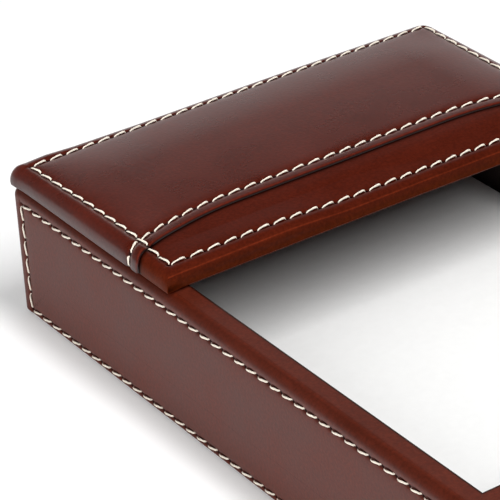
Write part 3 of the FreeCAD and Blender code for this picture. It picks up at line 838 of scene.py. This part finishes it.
# %% Nearest ledge seam
def ledge_seam(u, v, with_arc):
    """The same three numbers as for a wall, with the overlay's arc row or without it."""
    best = [np.zeros(u.shape), np.full(u.shape, FAR), np.full(u.shape, CROSS_PITCH)]
    within_x = np.abs(u) <= SIDE_ROW + WITHIN
    within_y = (v >= NOSE_ROW - WITHIN) & (v <= BACK_ROW + WITHIN)
    offer(best, within_x, np.interp(u, NOSE_HOLES, steps), v - NOSE_ROW, CROSS_PITCH)
    offer(best, within_x, (u + SIDE_ROW) / CROSS_PITCH, v - BACK_ROW, CROSS_PITCH)
    for beside in (u + side_row(v), u - side_row(v)):
        offer(best, within_y, (v - NOSE_ROW) / SIDE_PITCH, beside, SIDE_PITCH)
    if with_arc:
        beside = (v - np.interp(u, arc_x, arc_y)) / np.hypot(1, np.interp(u, arc_x, arc_slope))
        along_arc = np.interp(np.interp(u, arc_x, arc_run), arc_holes, np.arange(len(arc_holes)))
        offer(best, np.abs(u) < ARC_REACH, along_arc, beside, ARC_PITCH)
    return best


print("border:", 2 * (SIDE_STITCHES + CROSS_STITCHES), "stitches")


# %% [markdown]
# ### The edge of a layer
#
# Outside the flat top come rings of points that follow the slab's outline, over the rounded edge and
# down the side. `bullnose` gives the rounded part as a quarter ellipse. At each plan corner a fan of
# points turns ninety degrees. `ring_place` says where a border point's ring point stands.

# %% Border and rings
FAN = np.radians([15, 30, 45, 60, 75])
MIDDLE_Y, HALF_DEPTH = (NOSE + BACK) / 2, (BACK - NOSE) / 2
X_IN, FRONT_IN, BACK_IN = LEDGE_SIDE - MARGIN, NOSE + MARGIN, BACK - MARGIN


def bullnose(turns, depth):
    """A quarter ellipse from the top's edge down to the side: (inset, drop, lean in degrees)."""
    rings = []
    for t in np.radians(turns):
        lean = math.atan2(depth * math.sin(t), MARGIN * math.cos(t))
        rings.append((MARGIN * (1 - math.sin(t)), depth * (1 - math.cos(t)), math.degrees(lean)))
    return rings


def ledge_border(rows, columns, with_front):
    """The top's edge points in order: kind, which way it faces, its place there, and its number."""
    top = np.arange(rows * columns).reshape(rows, columns)
    border = [("side", -1, j, top[j, 0]) for j in range(rows)]
    border += [("corner", (-1, 1), a, top[-1, 0]) for a in FAN]
    border += [("back", 1, i, top[-1, i]) for i in range(columns)]
    border += [("corner", (1, 1), a, top[-1, -1]) for a in FAN[::-1]]
    border += [("side", 1, j, top[j, -1]) for j in reversed(range(rows))]
    if with_front:
        border += [("corner", (1, -1), a, top[0, -1]) for a in FAN]
        border += [("nose", -1, i, top[0, i]) for i in reversed(range(columns))]
        border += [("corner", (-1, -1), a, top[0, 0]) for a in FAN[::-1]]
    return border


def ring_place(kind, way, place, columns, along_side, inset, travel):
    """A ring point's outward direction, its place, and its place on the leather laid flat."""
    if kind == "side":
        y = along_side[place]
        return (way, 0), (way * (LEDGE_SIDE - inset), y), (way * (X_IN + travel), y)
    if kind == "back":
        return (0, 1), (columns[place], BACK - inset), (columns[place], BACK_IN + travel)
    if kind == "nose":
        return (0, -1), (columns[place], NOSE + inset), (columns[place], FRONT_IN - travel)
    normal = np.array([way[0] * math.cos(place), way[1] * math.sin(place)])
    curl = max(BACK_CORNER if way[1] > 0 else NOSE_CORNER, inset + 0.03)
    centre = np.array([way[0] * (LEDGE_SIDE - curl), MIDDLE_Y + way[1] * (HALF_DEPTH - curl)])
    flat = np.array([way[0] * X_IN, MIDDLE_Y + way[1] * (HALF_DEPTH - MARGIN)]) + normal * travel
    return normal, centre + normal * (curl - inset), flat


print("half way round the edge:", [round(c, 2) for c in bullnose([45], 3.45)[0]])


# %% [markdown]
# ### One lattice for both leathers
#
# The top is a plain lattice, and the rings are joined to it one after the other. Each point keeps the
# direction it faces, so a layer is grown or shrunk by moving its points along it, and its place on
# the leather laid flat, so seams can cross the edge. The top's form fades out down the side, and the
# nose's lower edge rises a little at the left and sags at the right, as on the real ledge.

# %% Ledge lattice
NOSE_RISE, NOSE_SAG = 0.2, 0.25
FADE_FROM, FADE_OVER = 3.4, 2.0


def ledge_lattice(front_line, columns, rows, rings, with_front):
    """rings: (inset, drop, lean in degrees) from the top outwards; rows run from 0 at front_line to 1."""
    start = front_line(columns)
    y = start + (BACK_IN - start) * rows[:, None]
    x = np.broadcast_to(columns, y.shape)
    base = [np.stack([x, y, LEDGE_TOP + ledge_height(x, y)], axis=-1).reshape(-1, 3)]
    facing = [np.tile([0.0, 0.0, 1.0], (x.size, 1))]
    flat = [np.stack([x, y], axis=-1).reshape(-1, 2)]
    faces = lattice_faces(len(rows), len(columns))
    border = ledge_border(len(rows), len(columns), with_front)
    on_nose = np.array([kind == "nose" for kind, _, _, _ in border])
    previous = [int(number) for _, _, _, number in border]
    count, travel, last = len(border), 0.0, (MARGIN, 0.0)
    for inset, drop, lean in rings:
        travel += math.dist(last, (inset, drop))
        last = (inset, drop)
        start = float(front_line(LEDGE_SIDE - inset))
        along_side = start + (BACK_IN - start) * rows
        found = [ring_place(*entry[:3], columns, along_side, inset, travel) for entry in border]
        ways, places, laid = (np.array(part, float) for part in zip(*found))
        tilt = math.radians(lean)
        upper = min(1.0, max(0.0, (FADE_FROM - drop) / FADE_OVER))
        x, y = places.T
        level = LEDGE_TOP - drop + ledge_height(x, y) * upper
        sag = NOSE_RISE * ease(np.abs(x), 57, 53) - NOSE_SAG * ease(x, 0, 30)
        level += on_nose * (1 - upper) * sag
        first = sum(len(part) for part in base)
        ring = list(range(first, first + count))
        base.append(np.column_stack([places, level]))
        facing.append(np.column_stack([ways * math.sin(tilt), np.full(count, math.cos(tilt))]))
        flat.append(laid)
        for m in range(count if with_front else count - 1):
            n = (m + 1) % count
            if previous[m] == previous[n]:
                faces.append((previous[m], ring[n], ring[m]))
            else:
                faces.append((previous[m], previous[n], ring[n], ring[m]))
        previous = ring
    return np.concatenate(base), np.concatenate(facing), np.concatenate(flat), faces, previous


side_columns = spaced(SIDE_ROW - 1.5, X_IN, 0.3)[1:]
middle_columns = spaced(-SIDE_ROW + 1.5, SIDE_ROW - 1.5, 2 * FINE)
columns = np.concatenate([-side_columns[::-1], middle_columns, side_columns])
print("ledge lattice:", len(columns), "columns")


# %% [markdown]
# ### Ledge cover
#
# The cover is wrapped round the nose, the sides and the back, and turned in under the ledge. The
# nose has a sharp crease where the leather bends over the board's edge, and below it the face is
# slightly hollow. Beside each front corner the spare leather makes an upright fold. These shapes
# move the lattice's points along their directions. The strip in front of the overlay gets a painted
# shadow, the crease a painted highlight with some rubbing, the nose face and the folds painted shade,
# and the nose's lower edge a painted highlight.

# %% Cover's lattice
cover_rows = [spaced(FRONT_IN, 24.6, FINE), spaced(25.2, 28.8, 0.6)]
cover_rows += [spaced(29.1, 36.6, 0.3), spaced(38.0, BACK_IN, 3.0)]
cover_rows = (np.concatenate(cover_rows) - FRONT_IN) / (BACK_IN - FRONT_IN)
COVER_DEPTH = 3.45
COVER_EDGE = bullnose((8, 16, 23, 29, 33, 36, 38, 39.5, 41, 43, 46, 50, 56, 62, 68, 74, 80, 86), COVER_DEPTH)
COVER_EDGE += [(0.0, 3.45, 90), (0.0, 3.62, 92), (0.04, 3.75, 103), (0.13, 3.87, 122), (0.32, 3.97, 150)]


def nose_edge(x):
    return np.zeros(np.shape(x)) + FRONT_IN


base, facing, flat, faces, last_ring = ledge_lattice(nose_edge, columns, cover_rows, COVER_EDGE, True)
print("cover lattice:", len(base), "points")


# %% [markdown]
# The seams, the crease, the hollow nose and the folds each move the points a
# fraction of a millimetre. They could be sculpted, but a bell curve is changed by one number.

# %% Cover pulled into shape
CREASE_IN, CREASE_RISE = 1.1, 0.10
COVER_TOP, COVER_SIDE = 0.18, -0.30
NOSE_HOLLOW, FOLD_DEPTH = 0.33, 0.22
u, v = flat.T
across = np.abs(u)
stitches, beside, pitch = ledge_seam(u, v, False)
upward = np.clip(facing[:, 2], 0, 1)
growth = COVER_TOP * upward + COVER_SIDE * (1 - upward) - pull(stitches, beside, pitch) - dip(beside)

path = [(MARGIN, 0.0)] + [ring[:2] for ring in COVER_EDGE]
to_crease = sum(math.dist(a, b) for a, b in zip(path, path[1:]) if b[0] > CREASE_IN)
crease = np.exp(-(((v - (FRONT_IN - to_crease)) / 0.13) ** 2)) * ease(across, 57.5, 55.5)
drop = LEDGE_TOP - base[:, 2]
below = np.clip((drop - 0.8) / 2.7, 0, 1)
on_nose = np.clip(-facing[:, 1], 0, 1) ** 2 * (drop > 0.8) * (v < FRONT_IN)
fold = on_nose * np.exp(-(((across - 56.3) / 0.4) ** 2)) * np.clip(below * 4, 0, 1)
growth -= NOSE_HOLLOW * np.sin(math.pi * below) * on_nose * ease(across, 55.5, 51.5) + FOLD_DEPTH * fold
growth += CREASE_RISE * crease
points = base + facing * growth[:, None] * np.where(facing[:, 2:] < 0, [1, 1, 0], 1)

# Painted light on the cover: a painted shadow in front of the overlay's edge, a painted highlight with some
# rubbing on the crease, painted shade on the nose face below the crease and in the folds, and a painted
# highlight on the nose's lower edge.
in_front = arc_edge(np.clip(u, -LEDGE_SIDE, LEDGE_SIDE)) - v
painted_light_and_wear = 0.9 * crease - 0.95 * np.exp(-((in_front / 0.8) ** 2)) - 0.25 * on_nose * (below < 0.98)
painted_light_and_wear += 1.5 * on_nose * (facing[:, 2] < -0.3) - 0.7 * fold
rolled = np.clip((1 - facing[:, 2]) * 1.2, 0, 1)
seam = np.stack([stitches, beside, rolled], axis=-1)
print("crease", round(to_crease, 2), "mm round the nose")


# %% [markdown]
# Underneath, the leather is turned in by 9.6 mm. Smaller and smaller copies of the last
# ring make the turning, and one face closes the inside.

# %% Cover's underside
UNDER = [(0.9, 33.0), (1.8, 32.7), (2.8, 32.4), (9.6, 32.4), (9.6, 33.2), (1.0, 33.2), (1.0, 35.0)]
edge = points[last_ring][:, :2]
centre = np.array([0, MIDDLE_Y])
outline_half = np.array([LEDGE_SIDE, HALF_DEPTH]) - 0.4
count, total = len(last_ring), len(points)
loops = []
for inset, level in UNDER:
    shrunk = centre + (edge - centre) * (outline_half - inset) / outline_half
    loops.append(np.column_stack([shrunk, np.full(count, level)]))
previous = last_ring
for n in range(len(UNDER)):
    ring = list(range(total + n * count, total + (n + 1) * count))
    faces += [(previous[m], previous[(m + 1) % count], ring[(m + 1) % count], ring[m]) for m in range(count)]
    previous = ring
faces.append(tuple(previous))
points = np.concatenate([points] + loops)
seam = np.concatenate([seam, np.tile([0.0, FAR, 0.5], (count * len(UNDER), 1))])
painted_light_and_wear = np.concatenate([painted_light_and_wear, np.zeros(count * len(UNDER))])
cover = solid_piece("ledge_cover_calf", points, faces, seam, painted_light_and_wear)
finish_piece(cover, ledge_calf, "ledge_leather", "tray", "ledge_cover_leather", "ledge_padding")


# %% [markdown]
# ### Ledge overlay
#
# The second leather lies on the first from the arc to the back. Its front edge is turned under,
# so it rolls up out of the first leather within half a millimetre. Its outer and inner sides are
# the same lattice grown by two amounts, joined along the open edge. The roll's top gets a painted
# highlight with some rubbing, its foot a painted shadow, and a band just behind it painted shade. At
# the back corners the folded spare leather bulges.

# %% Overlay's lattice
ROLL_AT = [0, 0.04, 0.12, 0.25, 0.42, 0.65, 0.95, 1.1, 1.3, 1.7, 2.5, 3.1]
ROLL_HEIGHT = [-0.08, 0.12, 0.26, 0.37, 0.44, 0.475, 0.48, 0.48, 0.48, 0.48, 0.48, 0.48]
from_edge = np.concatenate([ROLL_AT[:10], [2.05, 2.35], spaced(2.6, 4.6, 0.25), spaced(5.1, 41.4, 0.55)])
overlay_rows = np.concatenate([from_edge + ARC_MIDDLE, spaced(77.7, BACK_IN, 0.28)])
overlay_rows = (overlay_rows - ARC_MIDDLE) / (BACK_IN - ARC_MIDDLE)
OVERLAY_DEPTH = 3.35
OVERLAY_EDGE = bullnose((7, 14, 21, 28, 35, 42, 49, 56, 63, 70, 77, 84), OVERLAY_DEPTH)
OVERLAY_EDGE += [(0.0, 3.35, 90), (0.0, 3.55, 92), (0.04, 3.72, 100)]
base, facing, flat, faces, _ = ledge_lattice(arc_edge, columns, overlay_rows, OVERLAY_EDGE, False)
print("overlay lattice:", len(base), "points")


# %% [markdown]
# The outer side is held at least a little above the cover, so that no seam can pull it
# through. The two sides are joined along the edges that only one face uses.

# %% Overlay rolled and stitched down
OUTER_TOP, OUTER_SIDE, INNER_TOP, INNER_SIDE = 0.17, -0.28, 0.19, -0.28
LEAST_TOP, LEAST_SIDE = 0.22, -0.24
CORNER_BULGE = 0.5
u, v = flat.T
stitches, beside, pitch = ledge_seam(u, v, True)
behind = v - arc_edge(np.clip(u, -LEDGE_SIDE, LEDGE_SIDE))
upward = np.clip(facing[:, 2], 0, 1)
growth = np.interp(behind, ROLL_AT, ROLL_HEIGHT) + OUTER_TOP * upward + OUTER_SIDE * (1 - upward)
growth -= pull(stitches, beside, pitch) + dip(beside)
corner_gap = np.hypot(np.abs(base[:, 0]) - LEDGE_SIDE, base[:, 1] - BACK)
growth += CORNER_BULGE * np.exp(-((corner_gap / 4) ** 2)) * (1 - upward)
growth = np.maximum(growth, LEAST_TOP * upward + LEAST_SIDE * (1 - upward))
outer = base + facing * growth[:, None]
inner = base + facing * (INNER_TOP * upward + INNER_SIDE * (1 - upward))[:, None]

open_edges = {}
for face in faces:
    for a, b in zip(face, face[1:] + face[:1]):
        key = (min(a, b), max(a, b))
        open_edges[key] = None if key in open_edges else (a, b)
count = len(outer)
shell = faces + [tuple(n + count for n in reversed(face)) for face in faces]
shell += [(pair[1], pair[0], pair[0] + count, pair[1] + count) for pair in open_edges.values() if pair]

rolled = np.clip(np.maximum(1 - facing[:, 2], 1 - behind / 0.4), 0, 1)
seam = np.stack([stitches, beside, rolled], axis=-1)
# Painted light on the overlay: a painted highlight with some rubbing on the roll's top, a painted shadow at
# its foot, and painted shade on a band just behind it.
painted_light_and_wear = 0.6 * np.exp(-(((behind - 0.42) / 0.2) ** 2)) - 0.95 * np.exp(-((behind / 0.2) ** 2))
painted_light_and_wear -= 0.2 * np.exp(-(((behind - 1.3) / 0.4) ** 2))
both_sides = np.concatenate([outer, inner])
overlay = solid_piece("ledge_overlay_calf", both_sides, shell, np.tile(seam, (2, 1)), np.tile(painted_light_and_wear, 2))
finish_piece(overlay, overlay_calf, "overlay_leather", "tray", "ledge_overlay_leather")


# %% [markdown]
# ### Stitches of the ledge
#
# The border's stitches lie on the top's form, higher where the overlay is under them. They follow the
# same hole places as the grooves, so the two never drift apart.

# %% Border stitches
ON_OVERLAY, ON_COVER = 0.53, 0.10


def on_top(x, y):
    lift = ON_OVERLAY if y > arc_edge(x) + 0.3 else ON_COVER
    return LEDGE_TOP + float(crown(x, y) + pad(x, y)) + lift


def ledge_row(start, end, holes):
    """Stitches between the holes, which are numbers that grow along the row from start to end."""
    found = []
    shares = (np.array(holes) - holes[0]) / (holes[-1] - holes[0])
    for low, high in zip(shares, shares[1:]):
        places = []
        for part in (low + (high - low) * 0.1, (low + high) / 2, low + (high - low) * 0.9):
            x, y = (a + (b - a) * part for a, b in zip(start, end))
            if start[0] == end[0]:
                x = math.copysign(float(side_row(y)), x)
            places.append(np.array((x, y, on_top(x, y))))
        before, middle, after = places
        found.append((middle, after - before, (0, 0, 1), math.dist(start, end) * (high - low)))
    return found


side_holes = range(SIDE_STITCHES + 1)
border = (
    ledge_row((-SIDE_ROW, NOSE_ROW), (SIDE_ROW, NOSE_ROW), NOSE_HOLES)
    + ledge_row((-SIDE_ROW, BACK_ROW), (SIDE_ROW, BACK_ROW), steps)
    + ledge_row((-SIDE_ROW, BACK_ROW), (-SIDE_ROW, NOSE_ROW), side_holes)
    + ledge_row((SIDE_ROW, BACK_ROW), (SIDE_ROW, NOSE_ROW), side_holes)
)
stitched("ledge_border_thread", border, "ledge_border_stitching")


# %% [markdown]
# The arc row has to leave the top, so its stitches are placed by how far they are along the
# leather: `on_overlay` walks over the same rounded edge as the lattice did.

# %% Arc stitches
def on_overlay(run):
    """A place on the arc row, over the ledge's edge and down its side, and the way the leather faces."""
    u, v = float(np.interp(run, arc_run, arc_x)), float(np.interp(run, arc_run, arc_y))
    path = [(MARGIN, 0.0, 0.0)] + OVERLAY_EDGE
    travel = np.cumsum([0] + [math.dist(a[:2], b[:2]) for a, b in zip(path, path[1:])])
    beyond = max(abs(u) - X_IN, 0.0)
    inset, drop, lean = (float(np.interp(beyond, travel, [p[n] for p in path])) for n in range(3))
    side, tilt = math.copysign(1, u), math.radians(lean)
    x = u if beyond == 0 else side * (LEDGE_SIDE - inset)
    facing = np.array((side * math.sin(tilt), 0, math.cos(tilt)))
    lift = 0.50 * math.cos(tilt) + 0.02 * math.sin(tilt)
    return np.array((x, v, LEDGE_TOP + float(crown(x, v) + pad(x, v)) - drop)) + facing * lift, facing


arc = []
for before, after in zip(arc_holes, arc_holes[1:]):
    (start, _), (middle, facing), (end, _) = (on_overlay(r) for r in (before, (before + after) / 2, after))
    arc.append((middle * 0.6 + (start + end) * 0.2, end - start, facing, float(np.linalg.norm(end - start))))
stitched("ledge_arc_thread", arc, "ledge_arc_stitching")


# %% [markdown]
# ## Paper
#
# Loose note sheets, never perfectly square to each other. One block with a striped material would
# look printed, so each sheet is its own thin leaf, shifted by a tenth or two of a millimetre. The
# upper sheets ride on the body that a hand lifts.

# %% Sheets
SHEET_HALF, LOOSE, BETWEEN = np.array([50.8, 76.2]), 0.22, 0.012


def sheets(name, level, thickness, count, body, node):
    chance = np.random.default_rng(count)
    points, faces = [], []
    leaf = thickness / count
    half = SHEET_HALF - 0.25
    for n in range(count):
        shift = chance.uniform(-LOOSE, LOOSE, 2)
        for z in (level + n * leaf, level + (n + 1) * leaf - BETWEEN):
            for x, y in ((-1, -1), (1, -1), (1, 1), (-1, 1)):
                points.append((x * half[0] + shift[0], y * half[1] + shift[1], z))
        a = n * 8
        faces += [(a + 3, a + 2, a + 1, a), (a + 4, a + 5, a + 6, a + 7)]
        faces += [(a + k, a + (k + 1) % 4, a + 4 + (k + 1) % 4, a + 4 + k) for k in range(4)]
    piece = solid_piece(name, points, faces)
    for polygon in piece.data.polygons:
        polygon.use_smooth = False
    finish_piece(piece, note_sheet, "note_paper", body, node)


sheets("lower_sheets", 4.0, 2.2, 20, "tray", "paper_stack")
sheets("upper_sheets", 6.2, 1.0, 9, "lifted_sheets", "top_sheets")


# %% [markdown]
# ## Frame under the leather
#
# Linings, boards and felt are right as they are in the CAD model, so they stay and only get their
# finish. Their node names end in what they are.

# %% Linings, boards and felt
FINISHES = {"lining": suede_lining, "board": grey_board, "felt": wool_felt}
for node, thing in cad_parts.items():
    for word, material in FINISHES.items():
        if node.endswith(word):
            for holder in thing.material_slots:
                holder.material = material
            print(node, "gets", material.name)
